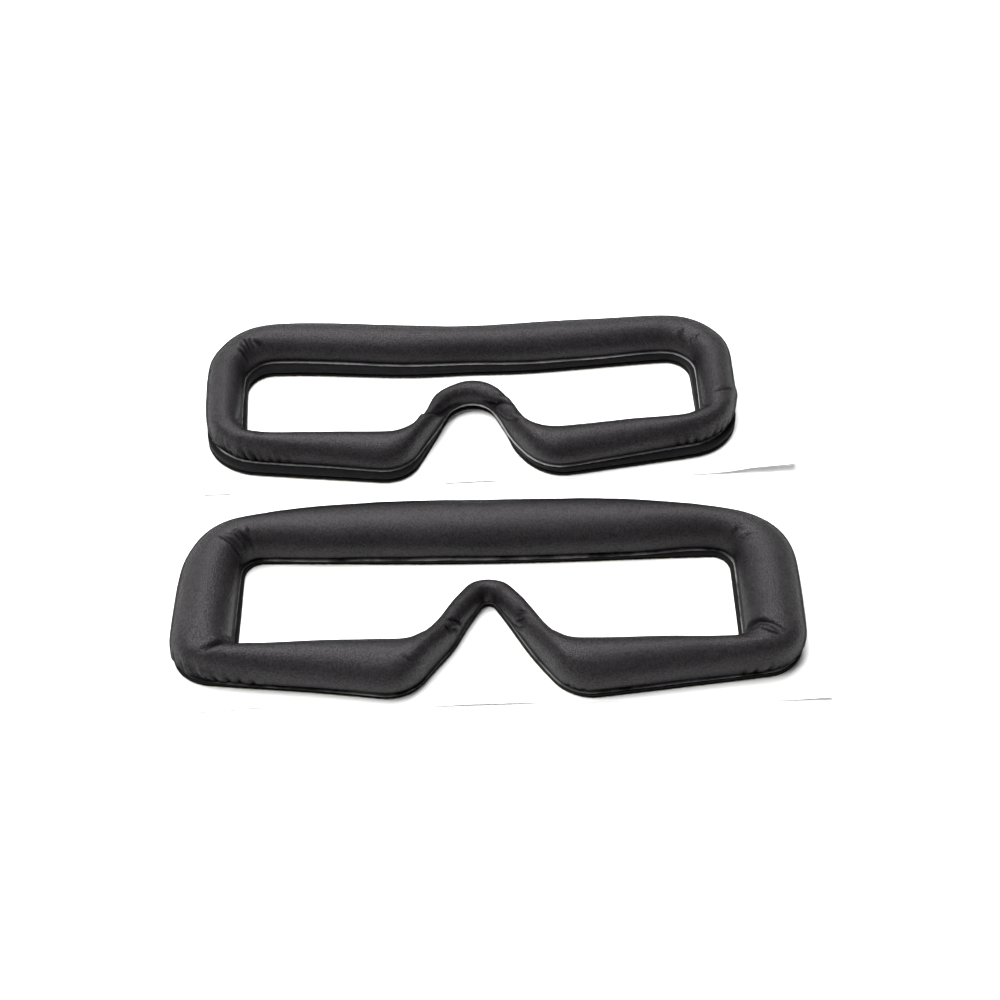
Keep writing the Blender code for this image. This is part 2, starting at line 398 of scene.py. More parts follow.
class Nodes:
    """Short hand for building the nodes of a material or a world."""

    def __init__(self, owner, coordinates="Object"):
        owner.use_nodes = True
        self.owner = owner
        self.tree = owner.node_tree
        self.where = self.node("ShaderNodeTexCoord").outputs[coordinates]

    def node(self, kind, inputs=None, **props):
        node = self.tree.nodes.new(kind)
        for name, value in props.items():
            setattr(node, name, value)
        for key, value in (inputs or {}).items():
            self.put(node.inputs[key], value)
        return node

    def put(self, socket, value):
        if isinstance(value, bpy.types.NodeSocket):
            self.tree.links.new(value, socket)
        else:
            socket.default_value = value

    def noise(self, size, detail=2.0, rough=0.5):
        """Noise whose features measure about size mm."""
        inputs = {"Vector": self.where, "Scale": 0.6 / (size * MM)}
        inputs |= {"Detail": detail, "Roughness": rough}
        return self.node("ShaderNodeTexNoise", inputs).outputs["Fac"]

    def cells(self, size, feature="F1", vector=None):
        """Cells about size mm across."""
        inputs = {"Vector": vector or self.where, "Scale": 1.0 / (size * MM)}
        return self.node("ShaderNodeTexVoronoi", inputs, feature=feature).outputs["Distance"]

    def attribute(self, name):
        return self.node("ShaderNodeAttribute", attribute_name=name).outputs["Fac"]

    def calc(self, operation, first, second, clamp=False):
        inputs = {0: first, 1: second}
        return self.node("ShaderNodeMath", inputs, operation=operation, use_clamp=clamp).outputs[0]

    def span(self, value, over=(0.3, 0.7), to=(0.0, 1.0)):
        """Maps one range of a value onto another; by default the middle of a noise onto 0 to 1."""
        inputs = {"Value": value, "From Min": over[0], "From Max": over[1]}
        inputs |= {"To Min": to[0], "To Max": to[1]}
        return self.node("ShaderNodeMapRange", inputs).outputs["Result"]

    def mix(self, share, first, second):
        return self.node("ShaderNodeMix", {0: share, 6: first, 7: second}, data_type="RGBA").outputs[2]

    def bump(self, height, depth, strength, under=None):
        """Raises the surface by height times depth mm, over the relief under it."""
        inputs = {"Height": height, "Distance": depth * MM, "Strength": strength}
        if under is not None:
            inputs["Normal"] = under
        return self.node("ShaderNodeBump", inputs).outputs["Normal"]

    def finish(self, **values):
        """Sets the principled shader's inputs and returns the material."""
        for name, value in values.items():
            self.put(self.tree.nodes["Principled BSDF"].inputs[name.replace("_", " ")], value)
        return self.owner


def material(name):
    return Nodes(bpy.data.materials.new(name))


def rgb(red, green, blue):
    return (red, green, blue, 1.0)


def dim(red, green, blue):
    """A dark tone as it should look in this studio."""
    return rgb(red / LIGHT, green / LIGHT, blue / LIGHT)


def leather_material():
    mat = material("imitation_leather")
    # the pebbles' pattern is shifted by up to 0.35 mm, so its cells are irregular
    wander = {"Vector": mat.where, "Scale": 900.0, "Detail": 1.0}
    wander = mat.node("ShaderNodeTexNoise", wander).outputs["Color"]
    shift = mat.node("ShaderNodeVectorMath", {0: wander, 3: 0.00035}, operation="SCALE").outputs[0]
    warp = mat.node("ShaderNodeVectorMath", {0: mat.where, 1: shift}, operation="ADD").outputs[0]
    pebbles = mat.cells(size=0.54, feature="SMOOTH_F1", vector=warp)
    furrows = mat.cells(size=0.54, feature="DISTANCE_TO_EDGE", vector=warp)
    pores = mat.noise(size=0.16)
    broad = mat.noise(size=9.0, detail=3.0)
    mid = mat.noise(size=1.6)
    # black pigment, a little greyer on the raised pebbles where it is rubbed
    black = mat.mix(mat.span(broad), dim(0.0106, 0.0096, 0.0107), dim(0.0148, 0.0134, 0.0147))
    crown = mat.span(pebbles, over=(0.0, 0.55), to=(1.0, 0.0))
    black = mat.mix(mat.calc("MULTIPLY", crown, 0.26), black, dim(0.027, 0.0241, 0.0264))
    # scuffs and painted highlights: the "scuff" attribute, broken into flecks, makes the leather pale
    # grey on real scuffs and as a painted highlight on crease lips
    scuffed_and_lit = mat.attribute("scuff_and_highlight")
    flecks = mat.span(mat.noise(size=0.45), over=(0.45, 0.75))
    scuffed_and_lit = mat.calc("MULTIPLY", scuffed_and_lit, flecks, clamp=True)
    black = mat.mix(scuffed_and_lit, black, dim(0.16, 0.155, 0.16))
    dust = mat.span(mat.cells(size=3.1), over=(0.0, 0.045), to=(1.0, 0.0))
    patches = mat.span(mat.noise(size=12.0), over=(0.5, 0.62), to=(0.0, 0.85))
    black = mat.mix(mat.calc("MULTIPLY", dust, patches, clamp=True), black, dim(0.5, 0.5, 0.5))
    # painted shade: the "crease" attribute darkens the leather nearly to black in creases, pinched
    # pleats, below overlaps and along the hems
    crease = mat.attribute("crease")
    black = mat.mix(mat.calc("MULTIPLY", crease, 0.92), black, dim(0.0030, 0.0026, 0.0030))
    rough = mat.span(broad, to=(0.275, 0.34))
    fine = mat.calc("MULTIPLY", mat.calc("ADD", mid, pores), 0.05)
    rough = mat.calc("ADD", rough, fine)
    relief = mat.bump(mat.span(mid, over=(0.2, 0.8)), depth=0.05, strength=0.5)
    height = mat.span(furrows, over=(0.0, 0.12))
    relief = mat.bump(height, depth=0.055, strength=0.9, under=relief)
    height = mat.span(pebbles, over=(0.0, 0.6), to=(1.0, 0.0))
    relief = mat.bump(height, depth=0.065, strength=0.9, under=relief)
    relief = mat.bump(pores, depth=0.03, strength=0.8, under=relief)
    # furrows hold dirt and shade, so they shine less than the pebbles' crowns;
    # pores dull the surface too, painted shade in creases and along the hems takes most of the shine,
    # and so does seeing it edge on
    shine = mat.span(furrows, over=(0.0, 0.10), to=(0.5, 1.0))
    crowns = mat.span(pebbles, over=(0.05, 0.6), to=(0.69 / LIGHT, 0.38 / LIGHT))
    shine = mat.calc("MULTIPLY", shine, crowns)
    shine = mat.calc("MULTIPLY", shine, mat.span(pores, to=(0.85, 1.12)))
    shine = mat.calc("MULTIPLY", shine, mat.span(crease, over=(0.0, 1.0), to=(1.0, 0.06)))
    edge_on = mat.node("ShaderNodeLayerWeight", {"Blend": 0.5}).outputs["Facing"]
    for over, least in (((0.40, 0.70), 0.02), ((0.80, 0.92), 0.0)):
        shine = mat.calc("MULTIPLY", shine, mat.span(edge_on, over=over, to=(1.0, least)))
    return mat.finish(
        Base_Color=black, Roughness=rough, Normal=relief,
        Specular_IOR_Level=shine, Specular_Tint=rgb(1.0, 0.955, 0.99),
    )


def pile_material(name, tint, gloss):
    """Dark fibres with paler tufts and lint; gloss is the least roughness."""
    mat = material(name)
    tuft = mat.noise(size=0.35, detail=3.0)
    clump = mat.noise(size=2.4, detail=3.0)
    lint = mat.span(mat.cells(size=1.3), over=(0.0, 0.11), to=(1.0, 0.0))
    dark, mild, pale = (dim(*(c * gain for c in tint)) for gain in (0.75, 1.35, 3.2))
    colour = mat.mix(mat.span(clump), dark, mild)
    colour = mat.mix(mat.span(tuft, over=(0.56, 0.72), to=(0.0, 0.8)), colour, pale)
    patches = mat.span(mat.noise(size=4.0), over=(0.5, 0.6), to=(0.0, 0.7))
    lint = mat.calc("MULTIPLY", lint, patches, clamp=True)
    colour = mat.mix(lint, colour, dim(0.22, 0.22, 0.22))
    relief = mat.bump(tuft, depth=0.12, strength=0.9)
    fuzz = mat.noise(size=0.12, detail=1.0)
    relief = mat.bump(fuzz, depth=0.05, strength=0.7, under=relief)
    return mat.finish(
        Base_Color=colour, Roughness=mat.span(tuft, to=(gloss, 1.0)), Normal=relief,
        Specular_IOR_Level=0.2 / LIGHT, Sheen_Weight=0.07 / LIGHT, Sheen_Roughness=0.6,
    )


def board_material(name, low, high, dirt):
    """Grey fibre board between two tones, darkened in patches as far as dirt says."""
    mat = material(name)
    fibre = mat.noise(size=0.25, detail=3.0)
    cloud = mat.span(mat.noise(size=5.0, detail=3.0), over=(0.35, 0.65))
    colour = mat.mix(cloud, dim(low, low * 0.98, low * 1.01), dim(high, high * 0.985, high))
    pale = dim(high * 1.25, high * 1.23, high * 1.25)
    colour = mat.mix(mat.span(fibre, over=(0.4, 0.75), to=(0.0, 0.8)), colour, pale)
    scorch = mat.span(mat.noise(size=7.0, detail=3.0), over=(0.46, 0.62), to=(0.0, dirt))
    colour = mat.mix(scorch, colour, dim(0.02, 0.02, 0.021))
    return mat.finish(
        Normal=mat.bump(fibre, depth=0.06, strength=0.7), Base_Color=colour,
        Roughness=mat.span(fibre, to=(0.65, 0.9)), Specular_IOR_Level=0.3 / LIGHT,
    )


def paper_material():
    mat = material("release_paper")
    fibre = mat.noise(size=0.5, detail=4.0, rough=0.6)
    cloud = mat.span(mat.noise(size=22.0, detail=3.0), over=(0.35, 0.65))
    colour = mat.mix(cloud, rgb(0.865, 0.865, 0.865), rgb(0.90, 0.90, 0.895))
    colour = mat.mix(mat.span(fibre, to=(0.0, 0.5)), colour, rgb(0.86, 0.862, 0.87))
    relief = mat.bump(fibre, depth=0.02, strength=0.5)
    relief = mat.bump(mat.noise(size=3.5), depth=0.03, strength=0.4, under=relief)
    return mat.finish(
        Base_Color=colour, Roughness=mat.span(fibre, to=(0.42, 0.6)), Normal=relief,
        Specular_IOR_Level=0.45, Coat_Weight=0.08, Coat_Roughness=0.35,
    )


def film_material():
    mat = material("adhesive")
    ripple = mat.noise(size=1.2)
    colour = mat.mix(mat.span(ripple), rgb(0.62, 0.56, 0.40), rgb(0.74, 0.70, 0.56))
    return mat.finish(
        Normal=mat.bump(ripple, depth=0.03, strength=0.5), Base_Color=colour,
        Roughness=mat.span(ripple, to=(0.18, 0.32)), Transmission_Weight=0.35, IOR=1.47,
    )


def foam_material():
    mat = material("open_cell_foam")
    pores = mat.cells(size=0.55, feature="DISTANCE_TO_EDGE")
    walls = mat.span(pores, over=(0.0, 0.25), to=(1.0, 0.0))
    colour = mat.mix(walls, rgb(0.03, 0.03, 0.034), rgb(0.085, 0.085, 0.092))
    cloud = mat.span(mat.noise(size=6.0), over=(0.35, 0.65), to=(0.0, 0.4))
    colour = mat.mix(cloud, colour, rgb(0.05, 0.05, 0.055))
    height = mat.span(pores, over=(0.0, 0.25), to=(1.0, 0.0))
    relief = mat.bump(height, depth=0.2, strength=0.9)
    return mat.finish(Base_Color=colour, Roughness=0.95, Normal=relief, Specular_IOR_Level=0.15)


# ------------------------------------------------------------- leather cover


def loft_cover(design, height):
    """Section points round the whole ring: stations x section x 3, in the pad's own frame."""
    inner, outer, arch = stations(design)
    inner, outer = soften(inner, 10), soften(outer, 10)
    rise = height + (design["arch_rise"] - height) * soften(arch, 6)
    across = outer - inner
    facing = soften(across[:, 1] / np.linalg.norm(across, axis=1), 8)
    forehead, cheek = ease(facing, 0.2, 0.8), ease(-facing, 0.2, 0.8)
    kinds = [roll_section(SECTION_POINTS, *kind) for kind in zip(design["fullness"], PROUD)]
    weights = (forehead, 1 - forehead - cheek, cheek)
    section = sum(weight[:, None, None] * kind[None] for weight, kind in zip(weights, kinds))
    beyond = np.maximum(section[:, :, 0] - HEM_OUT[1], 0)
    section[:, :, 0] -= design["neat"] * arch[:, None] * beyond
    grid = np.empty((len(inner), SECTION_POINTS, 3))
    grid[:, :, :2] = inner[:, None] + across[:, None] * section[:, :, :1]
    grid[:, :, 2] = rise[:, None] * section[:, :, 1]
    return grid


def loose_map(rows, cols):
    """Where the leather has spare length: round the outer side of the ring's convex corners."""
    station = np.arange(rows)
    station = np.minimum(station, rows - station)
    corner = np.zeros(rows)
    start = 0
    for straight, arc, amount in zip(STRAIGHTS, ARCS, (0.7, 1.0, 0.8)):
        start += straight
        corner = np.maximum(corner, amount * bell(station, start + arc / 2, 0.75 * arc))
        start += arc
    side = bell(np.linspace(0, 1, cols), 0.80, 0.16)
    return 0.12 + 0.88 * corner[:, None] * side[None, :]


def cloth_cover(grid):
    """Runs the leather as cloth: hems held, air inside, with spare length where it is loose."""
    rows, cols = grid.shape[:2]
    loose = loose_map(rows, cols)
    faces = skin_faces(rows, cols, False)
    obj = mesh_object("leather_cloth", grid.reshape(-1, 3) * CLOTH_SCALE, faces)
    held = obj.vertex_groups.new(name="held")
    spare = obj.vertex_groups.new(name="spare")
    for i in range(rows):
        for j in range(cols):
            k = i * cols + j
            if j < 3 or j >= cols - 3:
                held.add([k], 1.0, "REPLACE")
            spare.add([k], float(loose[i, j]), "REPLACE")
    cloth = obj.modifiers.new("Cloth", "CLOTH")
    settings = cloth.settings
    settings.quality = 6
    settings.mass = 0.25
    settings.tension_stiffness = settings.compression_stiffness = 18
    settings.shear_stiffness = 6
    settings.bending_stiffness = 0.35
    settings.tension_damping = settings.compression_damping = 20
    settings.air_damping = 4
    settings.vertex_group_mass = "held"
    settings.vertex_group_shrink = "spare"
    settings.shrink_min, settings.shrink_max = 0.0, -0.10
    settings.use_pressure = True
    settings.uniform_pressure_force = 2.2
    settings.effector_weights.gravity = 0
    cloth.point_cache.frame_start, cloth.point_cache.frame_end = 1, CLOTH_FRAMES
    scene = bpy.context.scene
    for step in range(1, CLOTH_FRAMES + 1):
        scene.frame_set(step)
    draped = obj.evaluated_get(bpy.context.evaluated_depsgraph_get())
    coords = np.zeros(rows * cols * 3, np.float32)
    draped.data.vertices.foreach_get("co", coords)
    result = coords.reshape(rows, cols, 3).astype(float) / MM / CLOTH_SCALE
    bpy.data.objects.remove(obj, do_unlink=True)
    scene.frame_set(1)
    move = result - grid
    size = np.linalg.norm(move, axis=2)
    move *= (np.minimum(size, CLOTH_REACH) / np.maximum(size, 1e-9))[..., None]
    return grid + move


def surface_point(grid, around, across):
    """The point on a cover at a share round the ring and a share across the section."""
    rows, cols = grid.shape[:2]
    x, y = (around % 1.0) * rows, np.clip(across, 0, 1) * (cols - 1)
    i, j = int(x) % rows, min(int(y), cols - 2)
    part_x, part_y = x - int(x), y - j
    k = (i + 1) % rows
    low = grid[i, j] * (1 - part_x) + grid[k, j] * part_x
    high = grid[i, j + 1] * (1 - part_x) + grid[k, j + 1] * part_x
    return low * (1 - part_y) + high * part_y


def add_mask(mask, close, values):
    """Raises a mask, at the points listed, to the values where they are higher."""
    flat = mask.reshape(-1)
    flat[close] = np.maximum(flat[close], values)


class Leather:
    """A cover's fine surface, and the folds worked into it.
    Places are (share round the ring, share across the section)."""

    CREASE_GAIN = (1.8, 1.35)  # every crease is this much deeper and wider than listed
    PATH_SAMPLES = 28
    PATH_REACH = 14  # how far beyond a path its effect is worked out, at least

    def __init__(self, grid):
        self.grid = grid
        self.normal = grid_normals(grid)
        self.rows, self.cols = grid.shape[:2]
        shape = (self.rows, self.cols)
        self.raise_by, self.painted_shade_mask, self.scuff_and_highlight_mask = (np.zeros(shape) for _ in range(3))
        steps = np.linalg.norm(np.diff(grid, axis=1), axis=2)
        self.across = np.concatenate([np.zeros((self.rows, 1)), np.cumsum(steps, axis=1)], axis=1)

    def near(self, path):
        """The points near a path on the surface: their indices, distance from it in mm,
        how far along it they lie, and on which side."""
        path = np.array(path, float)
        k = np.linspace(0, len(path) - 1, self.PATH_SAMPLES)
        i = np.minimum(k.astype(int), len(path) - 2)
        part = (k - i)[:, None]
        places = path[i] * (1 - part) + path[i + 1] * part
        points = np.array([surface_point(self.grid, *place) for place in places])
        centre = points.mean(0)
        reach = np.linalg.norm(points - centre, axis=1).max() + self.PATH_REACH
        flat = self.grid.reshape(-1, 3)
        close = np.nonzero(np.linalg.norm(flat - centre, axis=1) < reach)[0]
        start = points[:-1]
        leg = points[1:] - start
        away = flat[close][:, None] - start[None]
        along = (away * leg).sum(2) / np.maximum((leg * leg).sum(1), 1e-9)
        along = np.clip(along, 0, 1)
        off = away - along[..., None] * leg
        distance = np.linalg.norm(off, axis=2)
        best = distance.argmin(1)
        n = np.arange(len(close))
        turn = np.cross(leg[best], off[n, best])
        side = np.sign((turn * self.normal.reshape(-1, 3)[close]).sum(1))
        return close, distance[n, best], (best + along[n, best]) / (self.PATH_SAMPLES - 1), side

    def crease(self, path, depth, width, lip=0.35, dark=1.0):
        """A sharp groove between soft lips."""
        depth, width = depth * self.CREASE_GAIN[0], width * self.CREASE_GAIN[1]
        close, distance, along, _ = self.near(path)
        fade = np.clip(np.sin(np.pi * np.clip(along, 0.02, 0.98)), 0, 1) ** 0.5
        groove = np.exp(-((distance / width) ** 2) * 1.6)
        lips = bell(distance, 2.1 * width, 1.3 * width)
        self.raise_by.reshape(-1)[close] += depth * fade * (lip * lips - groove)
        # painted shade along the groove
        add_mask(self.painted_shade_mask, close, fade * groove * dark * min(1.0, depth / 0.5))

    def overlap(self, path, height, sharp, spread, taper):
        """One side of the path lies over the other: a step that dies away on both sides."""
        close, distance, along, side = self.near(path)
        fade = np.clip(np.sin(np.pi * along), 0, 1) ** taper
        signed = distance * side
        step = 0.5 * np.tanh(signed / sharp) * bell(distance, 0, spread)
        self.raise_by.reshape(-1)[close] += height * fade * step
        # painted shade just past the step on its low side, and a painted highlight on the lit lip
        low, lit = math.copysign(0.9 * sharp, -height), math.copysign(1.9 * sharp, height)
        add_mask(self.painted_shade_mask, close, fade * bell(signed, low, 1.15 * sharp))
        add_mask(self.scuff_and_highlight_mask, close, 0.30 * fade * bell(signed, lit, 0.9 * sharp))

    def bulge(self, place, radius, height):
        """A soft swelling, or a hollow when the height is negative."""
        centre = surface_point(self.grid, *place)
        self.raise_by += height * bell(np.linalg.norm(self.grid - centre, axis=2), 0, radius)

    def scuff_and_highlight(self, path, width, amount):
        # pale marks: real scuffs, and painted highlights along crease lips
        close, distance, along, _ = self.near(path)
        fade = np.sin(np.pi * np.clip(along, 0.05, 0.95)) ** 0.5
        add_mask(self.scuff_and_highlight_mask, close, amount * bell(distance, 0, width) * fade)

    def gather(self, stops, depth, reach):
        """Pinched pleats that run up from the outer hem, with rounded puffs between them.
        Each stop: place round the ring, how deep, how long, and which way it leans."""
        edge = self.cols - 1 - round(0.058 * self.cols)
        run = travel(self.grid[:, edge])[1][:-1]
        shares = np.arange(self.rows) / self.rows
        up = np.maximum(self.across[:, edge : edge + 1] - self.across, 0)
        puff = np.zeros_like(up)
        for around, deep, long, lean in stops:
            off = run[:, None] - np.interp(around, shares, run) + lean * up
            tall = np.exp(-((up / (reach * long)) ** 1.6))
            tall[:, edge + 1 :] = 0
            wide = 0.52 + 0.10 * up
            pinch = np.exp(-((np.abs(off) / wide) ** 1.7))
            self.raise_by -= depth * deep * pinch * tall
            # painted shade in each pinch
            shade = np.minimum(1.2 * deep * pinch * tall, 1)
            self.painted_shade_mask = np.maximum(self.painted_shade_mask, shade)
            low = bell(up, 0.55 * reach * long, 0.45 * reach)
            low[:, edge + 1 :] = 0
            for side in (-1, 1):
                puff = np.maximum(puff, deep * low * bell(off, side * 1.7, 1.0))
        self.raise_by += 0.55 * depth * puff

    def fan(self, middle, spread, start, end, count, depth, width, seed):
        """Fine lines that cross the roll where the leather is crushed round a corner.
        middle and spread are round the ring, start and end across the section."""
        rng = np.random.default_rng(seed)
        for _ in range(count):
            around = middle + rng.uniform(-1, 1) * spread
            low = start + rng.uniform(-0.04, 0.06)
            high = end + rng.uniform(-0.12, 0.03)
            drift = rng.uniform(-0.004, 0.004)
            bend = (around + around + drift) / 2 + rng.uniform(-0.0012, 0.0012)
            path = [(around, low), (bend, (low + high) / 2), (around + drift, high)]
            deep = depth * rng.uniform(0.4, 1.0)
            self.crease(path, deep, width * rng.uniform(0.75, 1.3))

    def uneven(self, seed):
        """Broad and small swells, none of them near the hems."""
        flat = self.grid.reshape(-1, 3)
        share = np.linspace(0, 1, self.cols)
        window = np.clip(np.minimum(share - 0.06, 0.94 - share) / 0.16, 0, 1)[None, :]
        big = grain(flat, 17.0, seed).reshape(self.rows, self.cols)
        small = grain(flat, 5.0, seed + 7).reshape(self.rows, self.cols)
        self.raise_by += window * (0.22 * big + 0.05 * small)

    def shade_hems(self, tuck):
        share = np.linspace(0, 1, self.cols)
        shade = np.clip(1 - np.minimum(share - 0.07, 0.93 - share) / tuck, 0, 1)
        self.painted_shade_mask = np.maximum(self.painted_shade_mask, 0.95 * shade[None, :])

    def shell(self):
        """The leather as one closed sheet: its fine outer face, and a coarser inner face
        a thickness inside."""
        outside = self.grid + self.normal * self.raise_by[..., None]
        outside[..., 2] = np.maximum(outside[..., 2], 0.0)
        inside = (outside - self.normal * LEATHER)[::FINER, ::FINER]
        rows, cols = self.rows, self.cols
        in_rows, in_cols = inside.shape[:2]
        verts = np.concatenate([outside.reshape(-1, 3), inside.reshape(-1, 3)])
        faces = skin_faces(rows, cols, False)
        first = rows * cols
        for face in skin_faces(in_rows, in_cols, False):
            faces.append([first + k for k in reversed(face)])
        # one face per inner row closes each hem
        for i in range(in_rows):
            low = [((i * FINER + k) % rows) * cols for k in range(FINER + 1)]
            high = [k + cols - 1 for k in low]
            here, after = first + i * in_cols, first + ((i + 1) % in_rows) * in_cols
            faces.append([here, after] + low[::-1])
            faces.append(high + [after + in_cols - 1, here + in_cols - 1])
        return verts, faces


# --------------------------------------------------------------- fold layout
# Paths and places are (share round the ring, share across the section). The ring runs
# from the middle of the forehead through the +x side to the nose arch at 0.5 and back
# through the -x side; the section runs from the inner hem to the outer hem.
# gathers: (depth, reach, stops); spots: places of small pale marks, drawn like the scuffs
# creases: (depth, width, lip, darkness of the painted shade in the groove, paths)
# fans: (middle, spread, start, end, count, depth, width, seed)
# overlaps: (height, sharpness, spread, taper, path)
# scuffs_and_highlights: (width, amount, path), pale marks that are partly real scuffs and partly
# painted highlights on crease lips; bulges: (radius, height, place)


def mitre(around, reach):
    """Path of the soft fold at an inner corner."""
    return [(around, 0.20), (around, 0.34), (around, reach)]


SPOT = {"width": 0.42, "amount": 1.0}
SPOT_LENGTH = 0.0006  # share of the ring

